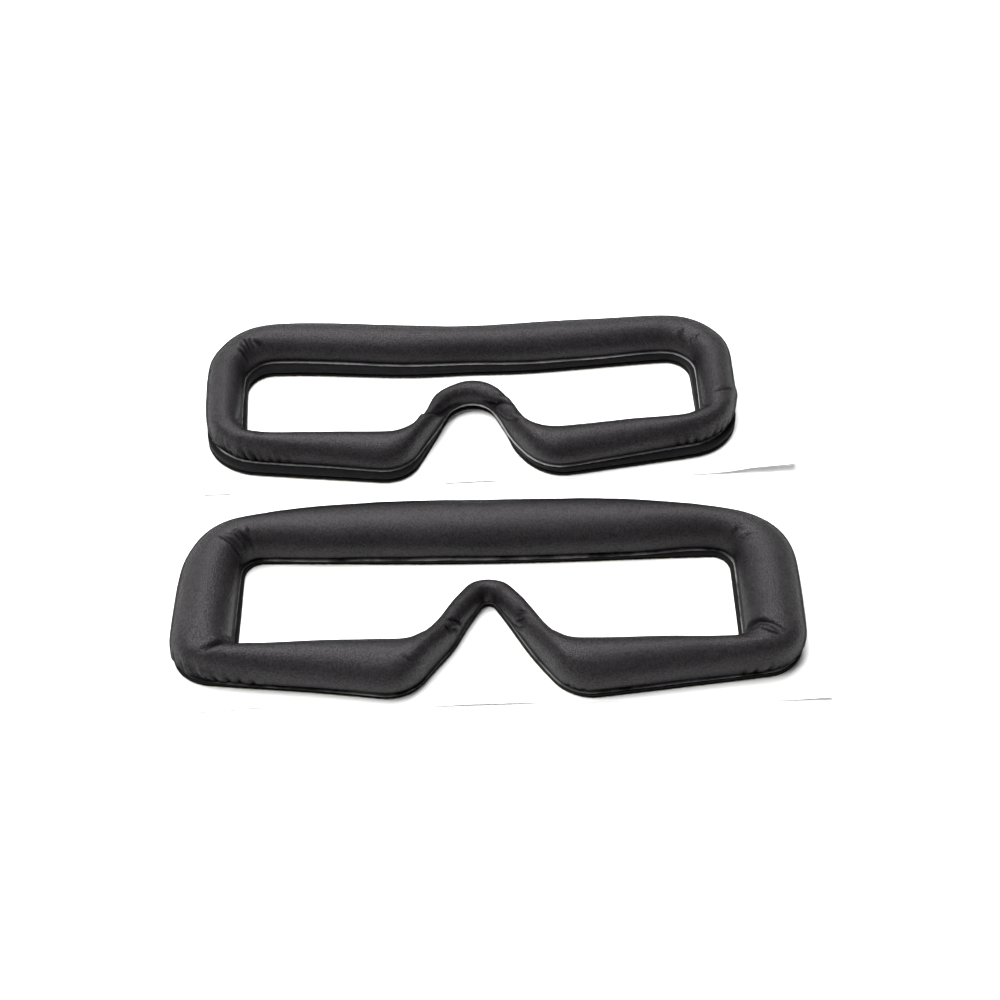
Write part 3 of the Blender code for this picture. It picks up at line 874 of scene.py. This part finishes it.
FOLDS = {
    "wide": {
        # the lower corners at -x and +x, then beside the nose on the +x side
        "gathers": [
            (0.95, 4.4, [
                (0.7561, 0.7, 1.0, -0.25), (0.7490, 0.8, 0.8, -0.2), (0.7421, 1.0, 1.1, -0.3),
                (0.7355, 0.6, 0.8, -0.1), (0.7295, 1.0, 1.3, -0.3), (0.7237, 1.0, 1.5, -0.35),
                (0.7185, 0.7, 0.9, -0.1), (0.7132, 0.9, 1.1, -0.2), (0.7070, 0.65, 1.1, 0.0),
                (0.7018, 0.6, 1.2, 0.1), (0.6950, 0.45, 0.8, 0.1),
            ]),
            (0.45, 3.4, [
                (0.2680, 0.5, 0.8, 0.1), (0.2745, 0.6, 1.0, 0.1), (0.2816, 0.8, 1.2, 0.0),
                (0.2904, 0.8, 1.1, -0.1), (0.2965, 0.6, 0.9, -0.1),
            ]),
            (0.4, 2.2, [(0.4009, 0.8, 1.0, 0.0), (0.3932, 0.6, 0.7, -0.1), (0.3851, 0.7, 0.8, 0.0)]),
        ],
        "spots": [
            (0.6930, 0.905), (0.6693, 0.915), (0.6570, 0.905),
            (0.6544, 0.91), (0.6500, 0.905), (0.6810, 0.90),
        ],
        "creases": [
            # a soft mitre at each inner corner, and the folds that start there
            (0.24, 1.9, 0.15, 0.12, [
                mitre(0.740, 0.5), mitre(0.226, 0.45), mitre(0.862, 0.42), mitre(0.140, 0.42),
            ]),
            (0.38, 0.75, 0.35, 1.0, [[(0.757, 0.31), (0.7421, 0.383), (0.736, 0.50), (0.7345, 0.62)]]),
            (0.28, 0.60, 0.2, 1.0, [
                [(0.2224, 0.20), (0.2211, 0.267), (0.2224, 0.35), (0.2316, 0.45), (0.2421, 0.567)],
            ]),
            (0.22, 0.5, 0.2, 1.0, [[(0.2434, 0.383), (0.2513, 0.483), (0.2526, 0.583)]]),
            (0.16, 0.5, 0.35, 1.0, [[(0.233, 0.36), (0.243, 0.47), (0.249, 0.56)]]),
            # fine lines over the upper corner at -x
            (0.17, 0.40, 0.35, 1.0, [
                [(0.8526, 0.50), (0.8474, 0.35)],
                [(0.8671, 0.45), (0.8632, 0.333), (0.8632, 0.217)],
                [(0.8697, 0.433), (0.8680, 0.33), (0.867, 0.24)],
                [(0.8740, 0.43), (0.8720, 0.33), (0.871, 0.25)],
                [(0.8855, 0.417), (0.8829, 0.333)],
                [(0.8434, 0.317), (0.8395, 0.217)],
                [(0.8490, 0.40), (0.8440, 0.28)],
            ]),
            # wrinkles either side of the nose arch
            (0.25, 0.43, 0.35, 1.0, [
                [(0.5605, 0.50), (0.5570, 0.60), (0.5526, 0.683)],
                [(0.5560, 0.60), (0.55, 0.783)],
                [(0.5592, 0.683), (0.5539, 0.80)],
                [(0.5640, 0.56), (0.5610, 0.70)],
                [(0.4526, 0.65), (0.4490, 0.58), (0.4461, 0.50)],
                [(0.4513, 0.70), (0.4461, 0.567)],
                [(0.4526, 0.88), (0.4474, 0.80), (0.4434, 0.683)],
                [(0.45, 0.75), (0.4447, 0.633)],
            ]),
            (0.20, 0.5, 0.35, 1.0, [[(0.612, 0.585), (0.5995, 0.665)]]),
        ],
        "fans": [
            (0.866, 0.014, 0.22, 0.44, 9, 0.12, 0.36, 21),
            (0.148, 0.014, 0.24, 0.42, 8, 0.11, 0.45, 22),
        ],
        "overlaps": [],
        "scuffs_and_highlights": [
            (0.9, 0.5, [(0.2816, 0.83), (0.2860, 0.85), (0.2965, 0.87)]),
            (2.2, 0.45, [(0.1421, 0.30), (0.1530, 0.36), (0.1658, 0.37)]),
            (0.9, 0.55, [(0.8660, 0.47), (0.8650, 0.36)]),
            (0.7, 0.5, [(0.8700, 0.46), (0.8690, 0.38)]),
            (0.8, 0.4, [(0.8610, 0.40), (0.8600, 0.27)]),
            (0.45, 0.9, [(0.6132, 0.583), (0.5987, 0.667)]),
        ],
        # hollows and swellings where the foam is uneven
        "bulges": [
            (7.0, 0.25, (0.705, 0.72)), (5.0, -0.25, (0.560, 0.55)),
            (5.0, -0.25, (0.440, 0.55)), (8.0, 0.2, (0.29, 0.7)),
        ],
    },
    "narrow": {
        # the lower corners at -x and +x
        "gathers": [
            (0.95, 4.0, [
                (0.7520, 0.5, 0.9, -0.2), (0.7465, 0.9, 1.4, -0.35), (0.7421, 1.0, 1.5, -0.3),
                (0.7370, 0.6, 1.0, -0.2), (0.7290, 0.5, 0.8, -0.1), (0.7219, 1.0, 1.2, -0.35),
                (0.7145, 1.0, 1.1, -0.3), (0.7096, 0.6, 0.8, -0.1), (0.7044, 0.6, 0.8, 0.0),
                (0.6991, 0.5, 1.3, 0.1), (0.6921, 0.4, 1.2, 0.1),
            ]),
            (0.55, 4.0, [
                (0.2460, 0.5, 0.8, 0.2), (0.2540, 0.7, 1.1, 0.2), (0.2623, 0.8, 1.2, 0.2),
                (0.2705, 0.5, 0.9, 0.0), (0.2789, 0.9, 1.1, -0.2), (0.2868, 0.9, 1.2, -0.2),
                (0.2934, 0.7, 1.3, -0.2),
            ]),
        ],
        "spots": [],
        "creases": [
            (0.22, 1.9, 0.15, 0.12, [
                mitre(0.742, 0.45), mitre(0.240, 0.45), mitre(0.862, 0.46), mitre(0.138, 0.42),
            ]),
            # the upper corner at -x
            (0.24, 0.6, 0.35, 1.0, [
                [(0.8618, 0.483), (0.8600, 0.38), (0.8579, 0.283)],
                [(0.8658, 0.45), (0.8645, 0.283)],
                [(0.8684, 0.40), (0.8776, 0.283)],
                [(0.8461, 0.417), (0.8461, 0.233)],
                [(0.8540, 0.45), (0.8520, 0.27)],
            ]),
            # the nose arch's leather is twisted on the +x side
            (0.34, 0.65, 0.7, 1.0, [
                [(0.4895, 0.846), (0.4772, 0.808), (0.4658, 0.718), (0.4570, 0.564), (0.4480, 0.43)],
            ]),
            (0.14, 0.6, 0.35, 1.0, [[(0.545, 0.60), (0.535, 0.70)]]),
            # one beside that twist, then the upper corner at +x
            (0.16, 0.5, 0.35, 1.0, [
                [(0.4720, 0.82), (0.4640, 0.80), (0.4560, 0.765)],
                [(0.1237, 0.36), (0.1368, 0.217)],
                [(0.1303, 0.40), (0.1303, 0.26)],
                [(0.1447, 0.42), (0.1447, 0.317), (0.1474, 0.25)],
                [(0.1474, 0.433), (0.15, 0.33)],
            ]),
            (0.16, 0.55, 0.35, 1.0, [[(0.2145, 0.417), (0.2132, 0.65)]]),
        ],
        "fans": [],
        # the nose arch's leather tucks under the cheek's at -x, and is twisted at +x
        "overlaps": [
            (-1.25, 0.42, 3.1, 0.45, [
                (0.5700, 0.24), (0.5680, 0.36), (0.5658, 0.449), (0.5550, 0.58), (0.5465, 0.718),
                (0.5386, 0.795), (0.5272, 0.859), (0.5175, 0.885), (0.5088, 0.90),
            ]),
            (1.2, 0.45, 2.4, 0.7, [
                (0.4640, 0.83), (0.4588, 0.79), (0.4509, 0.744),
                (0.4456, 0.715), (0.4325, 0.577), (0.4240, 0.42),
            ]),
        ],
        "scuffs_and_highlights": [
            (0.8, 0.5, [(0.2623, 0.80), (0.2640, 0.86)]),
            (0.8, 0.45, [(0.2810, 0.84), (0.2900, 0.80)]),
            (1.2, 0.75, [(0.1303, 0.42), (0.1310, 0.26)]),
            (1.0, 0.85, [(0.1460, 0.44), (0.1447, 0.317), (0.1474, 0.25)]),
            (0.7, 1.0, [(0.1303, 0.50), (0.1318, 0.505)]),
            (1.6, 0.25, [(0.185, 0.23), (0.2079, 0.27)]),
        ],
        "bulges": [
            (3.0, 0.35, (0.4580, 0.66)), (2.6, 0.55, (0.2105, 0.767)),
            (1.2, -0.25, (0.8158, 0.72)), (5.0, -0.2, (0.54, 0.55)),
        ],
    },
}


def work_folds(leather, folds):
    for depth, reach, stops in folds["gathers"]:
        leather.gather(stops, depth, reach)
    for around, across in folds["spots"]:
        leather.scuff_and_highlight([(around, across), (around + SPOT_LENGTH, across)], **SPOT)
    for depth, width, lip, dark, paths in folds["creases"]:
        for path in paths:
            leather.crease(path, depth, width, lip, dark)
    for fan in folds["fans"]:
        leather.fan(*fan)
    for *shape, path in folds["overlaps"]:
        leather.overlap(path, *shape)
    for *shape, path in folds["scuffs_and_highlights"]:
        leather.scuff_and_highlight(path, *shape)
    for *shape, place in folds["bulges"]:
        leather.bulge(place, *shape)


# ------------------------------------------------ tapes, boards and the liner


def band(inner, outer, low, high, soft, rough, size, seed, edge_steps, flat_steps, top_rough=0.0):
    """A closed ring cut from sheet: softened edges, and cut faces as rough as the material."""
    across = outer - inner
    width = np.linalg.norm(across, axis=1)
    across = across / width[:, None]
    shares = np.linspace(0, 1, edge_steps)
    edge = list(zip(soft * np.abs(2 * shares - 1) ** 3.5, low + (high - low) * shares))
    flat = np.linspace(0, 1, flat_steps + 2)[1:-1]
    back = np.linspace(1, 0, flat_steps + 2)[1:-1]
    # points, height, and side: -1 on the inner edge, 1 on the outer, 0 on the flats
    rows = [(inner + across * pinch, z, -1) for pinch, z in edge]
    rows += [(inner + across * (width * k)[:, None], high, 0) for k in flat]
    rows += [(outer - across * pinch, z, 1) for pinch, z in edge[::-1]]
    rows += [(inner + across * (width * k)[:, None], low, 0) for k in back]
    grid = np.empty((len(inner), len(rows), 3))
    for j, (points, z, side) in enumerate(rows):
        grid[:, j, :2], grid[:, j, 2] = points, z
        if side:
            bumps = grain(grid[:, j], size, seed) + 0.5 * grain(grid[:, j], size / 2.3, seed + 3)
            grid[:, j, :2] += across * (side * rough * bumps)[:, None]
        elif top_rough:
            facing = -1 if z == high else 1
            grid[:, j, 2] += top_rough * grain(grid[:, j], size * 1.7, seed + 5) * facing
    return grid


def tubes(paths, radii, sides=3):
    """Many fine tapered fibres as one mesh. paths is fibres x steps x 3."""
    count, steps = paths.shape[:2]
    along = np.gradient(paths, axis=1)
    along /= np.maximum(np.linalg.norm(along, axis=2), 1e-9)[..., None]
    upright = np.abs(along[..., 2:3]) > 0.9
    side = np.cross(along, np.where(upright, np.array([1.0, 0, 0]), np.array([0, 0, 1.0])))
    side /= np.maximum(np.linalg.norm(side, axis=2), 1e-9)[..., None]
    other = np.cross(along, side)
    verts = np.empty((count, steps, sides, 3))
    for k in range(sides):
        turn = 2 * math.pi * k / sides
        spoke = side * math.cos(turn) + other * math.sin(turn)
        verts[:, :, k] = paths + spoke * radii[None, :, None]
    starts = np.arange(count) * steps * sides
    base = starts[:, None, None]
    i, k = np.arange(steps - 1)[None, :, None], np.arange(sides)[None, None, :]
    low, high, k_next = base + i * sides, base + (i + 1) * sides, (k + 1) % sides
    quads = np.broadcast_arrays(low + k, low + k_next, high + k_next, high + k)
    quads = np.stack(quads, axis=-1).reshape(-1, 4).tolist()
    caps = [[int(s) + c for c in range(sides)][::-1] for s in starts]
    tips = [[int(s) + (steps - 1) * sides + c for c in range(sides)] for s in starts]
    return verts.reshape(-1, 3), quads + caps + tips


def edge_pile(inner, outer, low, high, length, seed):
    """Curly fibre ends along both cut edges of a tape."""
    density = 3.2 * (high - low)  # fibres per mm of edge
    steps = 4
    rng = np.random.default_rng(seed)
    both = []
    for line, side in ((inner, -1), (outer, 1)):
        step, run = travel(line)
        count = int(density * run[-1])
        x = rng.uniform(0, run[-1], count)
        i = np.clip(np.searchsorted(run, x) - 1, 0, len(line) - 1)
        part = ((x - run[i]) / np.maximum(step[i], 1e-9))[:, None]
        after = np.roll(line, -1, 0)
        root = line[i] * (1 - part) + after[i] * part
        tangent = (after[i] - line[i]) / np.maximum(step[i], 1e-9)[:, None]
        out = (outer[i] - inner[i]) * side
        out = out - tangent * (out * tangent).sum(1)[:, None]
        out /= np.maximum(np.linalg.norm(out, axis=1), 1e-9)[:, None]
        z = rng.uniform(low, high, count)
        size = length * rng.uniform(0.35, 1.0, count)
        lean, rise = rng.uniform(-0.9, 0.9, count), rng.uniform(-0.6, 0.6, count)
        curl = rng.uniform(-1.0, 1.0, count)
        path = np.empty((count, steps, 3))
        for k in range(steps):
            far = k / (steps - 1)
            reach = (size * (far - 0.45 * far * far) - 0.12)[:, None]
            drift = (size * (lean * far + curl * far * far))[:, None]
            path[:, k, :2] = root + out * reach + tangent * drift
            path[:, k, 2] = np.clip(z + size * rise * far, low + 0.02, high - 0.02)
        both.append(path)
    return tubes(np.concatenate(both), np.array([0.035, 0.033, 0.028, 0.014]))


def hook_field(inner, outer, low, high, pitch, seed):
    """Rows of small bent hooks standing on the tape, alternate rows facing opposite ways."""
    margin = 0.6  # bare strip along each edge
    shape = [(0.0, 0.0), (0.05, 0.55), (0.30, 0.97), (0.62, 0.80)]  # along, up
    rng = np.random.default_rng(seed)
    middle = (inner + outer) / 2
    run = travel(middle)[1][:-1]
    row_runs = np.arange(0, run[-1], pitch)
    roots, ways = [], []
    for k, i in enumerate(np.searchsorted(run, row_runs) % len(middle)):
        across = outer[i] - inner[i]
        width = np.linalg.norm(across)
        usable = width - 2 * margin
        count = max(int(usable / pitch), 1)
        shares = (margin + (np.arange(count) + 0.5) * usable / count) / width
        roots.append(inner[i] + across * shares[:, None])
        way = middle[(i + 1) % len(middle)] - middle[i]
        way = way / max(np.linalg.norm(way), 1e-9) * (1 if k % 2 else -1)
        ways.append(np.repeat(way[None], count, 0))
    roots, ways = np.concatenate(roots), np.concatenate(ways)
    height = high - low
    ways = ways + rng.normal(0, 0.15, ways.shape)
    path = np.empty((len(roots), len(shape), 3))
    for k, (along, up) in enumerate(shape):
        path[:, k, :2] = roots + ways * along * min(0.8, height)
        path[:, k, 2] = low + height * up * 0.96
    radii = np.array([0.13, 0.10, 0.085, 0.05]) * min(1.0, 0.5 + height / 1.4)
    return tubes(path, radii, sides=4)


def encloses(line, point):
    x, y = point
    start, end = line, np.roll(line, -1, 0)
    hit = (start[:, 1] > y) != (end[:, 1] > y)
    with np.errstate(divide="ignore", invalid="ignore"):
        slope = (y - start[:, 1]) * (end[:, 0] - start[:, 0]) / (end[:, 1] - start[:, 1])
        cross = start[:, 0] + slope
    return bool(np.count_nonzero(hit & (x < cross)) % 2)


LINER_STEP = 1.5
LINER_THICK = 0.09
# How far the paper curls up, mm, and how far its -y edge is cut off straight, mm.
LINER_CURL = {
    "wide": lambda x, y: 0.34 + 0.25 * bell(x, -66, 9) * (y < 0) + 0.3 * bell(x, 92, 9),
    "narrow": lambda x, y: (
        0.30 + 1.5 * np.clip((x - 45) / 55, 0, 1) ** 1.5 * (y < 0) + 0.2 * bell(x, -80, 10)
    ),
}
LINER_CUT = {
    "wide": lambda x: -0.2 - 1.3 * ease(-x, 66, 80) + 0.35 * np.sin(x / 17.0),
    "narrow": lambda x: -0.6 * ease(-x, 70, 84) + 0.4 * np.sin(x / 21.0 + 1.0),
}


def liner_sheet(key, ring, top):
    """The release paper: flat under the pad, easing up off the table towards its free edges."""
    x_low, x_high, y_low, y_high = PADS[key]["liner"]
    x_steps, y_steps = int((x_high - x_low) / LINER_STEP), int((y_high - y_low) / LINER_STEP)
    columns, lines = np.linspace(x_low, x_high, x_steps + 1), np.linspace(y_low, y_high, y_steps + 1)
    flat = np.stack([c.ravel() for c in np.meshgrid(columns, lines, indexing="ij")], axis=1)
    # distance outside the tape's outline
    line = ring[::4]
    distance = np.sqrt(((flat[:, None] - line[None]) ** 2).sum(2)).min(1)
    free = np.where([encloses(line, point) for point in flat], 0.0, distance)
    away = np.clip((free - 2.0) / 9.0, 0, None) ** 1.6
    sway = [noise.noise(Vector((x / 34, y / 34, 2.0 + x_low))) for x, y in flat]
    lift = LINER_CURL[key](flat[:, 0], flat[:, 1]) * np.minimum(away, 1.6)
    lift = np.maximum(lift + 0.12 * (0.6 + np.array(sway)) * np.minimum(away, 1), 0)
    rest = top - 0.12 * np.clip((free - 3.0) / 8.0, 0, 1)
    near_edge = np.clip(1 - (flat[:, 1] - y_low) / 6.0, 0, 1)
    flat[:, 1] += near_edge * LINER_CUT[key](flat[:, 0])
    height = lift + rest
    upper = np.column_stack([flat, height])
    verts = np.concatenate([upper, np.column_stack([flat, height - LINER_THICK])])
    count, row = len(flat), y_steps + 1
    faces = []
    for i in range(x_steps):
        for j in range(y_steps):
            a, b = i * row + j, (i + 1) * row + j
            faces.append([a, b, b + 1, a + 1])
            faces.append([a + count, a + 1 + count, b + 1 + count, b + count])
    rim = [i * row for i in range(x_steps + 1)]
    rim += [x_steps * row + j for j in range(1, row)]
    rim += [i * row + y_steps for i in range(x_steps - 1, -1, -1)]
    rim += list(range(y_steps - 1, 0, -1))
    for a, b in zip(rim, rim[1:] + rim[:1]):
        faces.append([a, a + count, b + count, b])
    return verts, faces


# ------------------------------------------------------------------ the plies


class Pad:
    """One pad's design, the heights of its plies, its outlines and where they lie."""

    def __init__(self, key):
        self.key, self.design = key, PADS[key]
        design = self.design
        self.heights = {ply: [end.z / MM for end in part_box(f"{key}_{ply}")] for ply in PLIES}
        self.pad_turn, self.tape_turn = design["turn_pad"], design["turn_tape"]
        rings = grown(design, *BOARD_BOX)
        self.pad_origin = origin_from(f"{key}_backing", rings, self.pad_turn)
        rings = grown(design, *design["tape_box"])
        self.tape_origin = origin_from(f"{key}_hook_tape", rings, self.tape_turn)
        board = grown(design, BOARD_IN, BOARD_OUT, design["board_arch"])
        self.board = [pulled(soften(ring, 12), design) for ring in board]
        tape = grown(design, *design["tape_cut"])
        self.tape = [pulled(soften(ring, 12), design, "tape") for ring in tape]
        self.board_top = self.heights["backing"][0] + BOARD
        self.base = self.board_top + 0.02  # where the leather starts

    def on_pad(self, points):
        return placed(points, self.pad_turn, self.pad_origin)

    def on_tape(self, points):
        return placed(points, self.tape_turn, self.tape_origin)

    def press(self, obj):
        """Gives a piece its own copy of its mesh."""
        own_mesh(obj)


def band_object(name, grid):
    return mesh_object(name, grid.reshape(-1, 3), skin_faces(*grid.shape[:2], True))


def build_cover(pad, mat):
    design, key = pad.design, pad.key
    grid = loft_cover(design, pad.heights["cover"][1] - pad.base)
    grid = cloth_cover(grid)
    grid[..., 2] = np.maximum(grid[..., 2], 0)
    fine = upsample(grid, FINER)
    fine[..., 2] = np.maximum(fine[..., 2], 0)
    leather = Leather(pulled(fine, design))
    leather.uneven(design["uneven_seed"])
    work_folds(leather, FOLDS[key])
    leather.shade_hems(design["tuck"])
    verts, faces = leather.shell()
    verts = pad.on_pad(verts)
    verts[:, 2] += pad.base
    cover = mesh_object(f"{key}_cover_leather", verts, faces)
    inner_face = np.zeros(len(verts) - leather.rows * leather.cols)
    # the attributes carry the painted shade, and the scuffs with their painted highlights, to the
    # leather's material
    for name, mask in (("crease", leather.painted_shade_mask), ("scuff_and_highlight", leather.scuff_and_highlight_mask)):
        values = np.concatenate([mask.ravel(), inner_face]).astype(np.float32)
        cover.data.attributes.new(name, "FLOAT", "POINT").data.foreach_set("value", values)
    give(cover, mat, f"{key}_pad", "leather", f"{key}_cover")
    pad.press(cover)


def build_foam(pad, mat):
    """The foam core: the CAD's, drawn in to lie hidden in the leather."""
    key = pad.key
    foam = bpy.data.objects.new(f"{key}_foam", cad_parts[f"{key}_foam_core"].data.copy())
    bpy.context.scene.collection.objects.link(foam)
    foam.data.materials.clear()
    coords = np.array([v.co for v in foam.data.vertices]) / MM
    coords -= np.array([v.normal for v in foam.data.vertices]) * 0.9
    flat = pulled(turned(coords[:, :2] - pad.pad_origin, -pad.pad_turn), pad.design)
    coords[:, :2] = pad.on_pad(flat)
    coords[:, 2] = pad.base + 0.05 + np.maximum(coords[:, 2] - pad.base, 0) * 0.9
    foam.data.vertices.foreach_set("co", (coords * MM).astype(np.float32).ravel())
    weld = foam.modifiers.new("Weld", "WELD")
    weld.merge_threshold = 0.00001
    subdivide = foam.modifiers.new("Cells", "SUBSURF")
    subdivide.levels = subdivide.render_levels = 1
    graph = bpy.context.evaluated_depsgraph_get()
    made = bpy.data.meshes.new_from_object(
        foam.evaluated_get(graph), preserve_all_data_layers=True, depsgraph=graph
    )
    foam.modifiers.clear()
    foam.data = made
    give(foam, mat, f"{key}_pad", "foam", f"{key}_foam_core")
    pad.press(foam)


def build_backing(pad, mat):
    key = pad.key
    grid = band(
        *pad.board, pad.heights["backing"][0], pad.board_top, soft=0.06, rough=0.10,
        size=1.6, seed=21.0, edge_steps=6, flat_steps=5, top_rough=0.02,
    )
    board = band_object(f"{key}_backing_board", pad.on_pad(grid))
    give(board, mat, f"{key}_pad", "backing_board", f"{key}_backing")


def build_loop_tape(pad, mat):
    """The loop tape, with its pile."""
    key, heights = pad.key, pad.heights["loop_tape"]
    grid = band(
        *pad.tape, *heights, soft=0.12, rough=0.10,
        size=0.8, seed=5.0, edge_steps=7, flat_steps=8, top_rough=0.03,
    )
    tape = band_object(f"{key}_loop_tape_body", pad.on_tape(grid))
    give(tape, mat, f"{key}_pad", "loop_pile", f"{key}_loop_tape")
    rings = [pad.on_tape(ring) for ring in pad.tape]
    pile = mesh_object(f"{key}_loop_pile_fibres", *edge_pile(*rings, *heights, length=0.42, seed=31))
    give(pile, mat, f"{key}_pad", "loop_pile")


def build_hook_tape(pad, mat):
    """The hook tape: a moulded strip, its hooks, and fibres along its edges."""
    key = pad.key
    low, high = pad.heights["hook_tape"]
    strip_top = low + 0.45 * (high - low)
    grid = band(
        *pad.tape, low, strip_top, soft=0.06, rough=0.05,
        size=0.9, seed=8.0, edge_steps=5, flat_steps=5, top_rough=0.01,
    )
    strip = band_object(f"{key}_hook_tape_strip", pad.on_tape(grid))
    give(strip, mat, f"{key}_tape", "hook_tape", f"{key}_hook_tape")
    rings = [pad.on_tape(ring) for ring in pad.tape]
    for name, mesh in (
        ("hooks", hook_field(*rings, strip_top - 0.03, high, pitch=1.45, seed=77)),
        ("hook_tape_fibres", edge_pile(*rings, low, high, length=0.30, seed=57)),
    ):
        give(mesh_object(f"{key}_{name}", *mesh), mat, f"{key}_tape", "hook_tape")


def build_adhesive(pad, mat):
    key = pad.key
    grid = band(
        *pad.tape, *pad.heights["adhesive_film"], soft=0.02, rough=0.04,
        size=2.5, seed=13.0, edge_steps=3, flat_steps=4,
    )
    film = band_object(f"{key}_adhesive", pad.on_tape(grid))
    give(film, mat, f"{key}_tape", "adhesive", f"{key}_adhesive_film")


def build_liner(pad, mat):
    name = f"{pad.key}_release_liner"
    verts, faces = liner_sheet(pad.key, pad.tape[1], pad.heights["release_liner"][1])
    liner = mesh_object(name, pad.on_tape(verts), faces)
    liner.data.set_sharp_from_angle(angle=math.radians(50))
    give(liner, mat, f"{pad.key}_liner", "release_paper", name)


# -------------------------------------------------------------------- studio
# Places in m.

FLOOR_HALF, FLOOR_Z = 3000, -0.02  # mm
SOFTBOX_AT, SOFTBOX_AIM = (-0.24, 0.25, 0.9), (-0.18, 0.20, 0)
SOFTBOX_SIZE, SOFTBOX_POWER = (1.40, 0.86), 18.6 * LIGHT
CAMERA_TARGET, CAMERA_DISTANCE = Vector((0.0009, 0.0015, 0.0)), 0.695


def build_floor():
    """A pale table that fades to white, for the camera only, away from the pads."""
    mat = material("studio_floor")
    mat.finish(Base_Color=rgb(0.90, 0.90, 0.90), Roughness=0.9, Specular_IOR_Level=0.1)
    radius = mat.node("ShaderNodeVectorMath", {0: mat.where}, operation="LENGTH")
    far = mat.span(radius.outputs["Value"], over=(0.30, 0.75))
    seen = mat.node("ShaderNodeLightPath").outputs["Is Camera Ray"]
    glow = mat.node("ShaderNodeEmission", {"Color": rgb(1, 1, 1), "Strength": 1.15}).outputs[0]
    table = mat.tree.nodes["Principled BSDF"].outputs[0]
    share = mat.calc("MULTIPLY", far, seen)
    mixed = mat.node("ShaderNodeMixShader", {0: share, 1: table, 2: glow}).outputs[0]
    mat.put(mat.tree.nodes["Material Output"].inputs["Surface"], mixed)
    corners = ((-1, -1), (1, -1), (1, 1), (-1, 1))
    verts = [(x * FLOOR_HALF, y * FLOOR_HALF, FLOOR_Z) for x, y in corners]
    floor = mesh_object("studio_floor", verts, [[0, 1, 2, 3]], smooth=False)
    floor.data.materials.append(mat.owner)


def build_world(scene):
    """The room is dim on the camera's side and lighter behind the pads, and lighter
    towards -x; the camera itself sees plain white."""
    scene.world = bpy.data.worlds.new("studio_air")
    air = Nodes(scene.world, coordinates="Generated")
    split = air.node("ShaderNodeSeparateXYZ", {0: air.where}).outputs
    depth = air.span(split["Y"], over=(0.15, 0.9), to=(0.15, 0.45))
    aside = air.span(split["X"], over=(-0.1, 0.8), to=(LIGHT, 0.15 * LIGHT))
    room = air.calc("MULTIPLY", depth, aside)
    seen = air.node("ShaderNodeLightPath").outputs["Is Camera Ray"]
    background = air.tree.nodes["Background"].inputs
    air.put(background["Color"], air.mix(seen, room, rgb(1.1, 1.1, 1.1)))
    air.put(background["Strength"], 1.0)


def aim(obj, place, target):
    obj.location = place
    obj.rotation_euler = (Vector(target) - Vector(place)).to_track_quat("-Z", "Y").to_euler()


def build_light(scene):
    light = bpy.data.lights.new("overhead_softbox", "AREA")
    light.shape = "RECTANGLE"
    light.size, light.size_y = SOFTBOX_SIZE
    light.energy = SOFTBOX_POWER
    softbox = bpy.data.objects.new("overhead_softbox", light)
    scene.collection.objects.link(softbox)
    aim(softbox, SOFTBOX_AT, SOFTBOX_AIM)


def build_camera(scene):
    lens = bpy.data.cameras.new("camera")
    lens.lens, lens.sensor_width = 80.0, 36.0
    lens.clip_start = 0.05
    camera = bpy.data.objects.new("camera", lens)
    scene.collection.objects.link(camera)
    camera.location = CAMERA_TARGET + Vector((0, -1, 1)).normalized() * CAMERA_DISTANCE
    aim(camera, camera.location.copy(), CAMERA_TARGET)
    scene.camera = camera


def build_studio():
    scene = bpy.context.scene
    scene.view_settings.view_transform = "Standard"
    scene.view_settings.look = "None"
    build_floor()
    build_world(scene)
    build_light(scene)
    build_camera(scene)


mats = {
    "leather": leather_material(),
    "foam": foam_material(),
    "wide_board": board_material("wide_backing_board", low=0.12, high=0.30, dirt=0.97),
    "narrow_board": board_material("narrow_backing_board", low=0.48, high=0.62, dirt=0.35),
    "loop": pile_material("loop_pile", tint=(0.0078, 0.0075, 0.0083), gloss=0.85),
    "hook": pile_material("hook_nylon", tint=(0.0085, 0.0082, 0.0090), gloss=0.55),
    "film": film_material(),
    "paper": paper_material(),
}
for key in PADS:
    pad = Pad(key)
    build_cover(pad, mats["leather"])
    build_foam(pad, mats["foam"])
    build_backing(pad, mats[f"{key}_board"])
    build_loop_tape(pad, mats["loop"])
    build_hook_tape(pad, mats["hook"])
    build_adhesive(pad, mats["film"])
    build_liner(pad, mats["paper"])
build_studio()
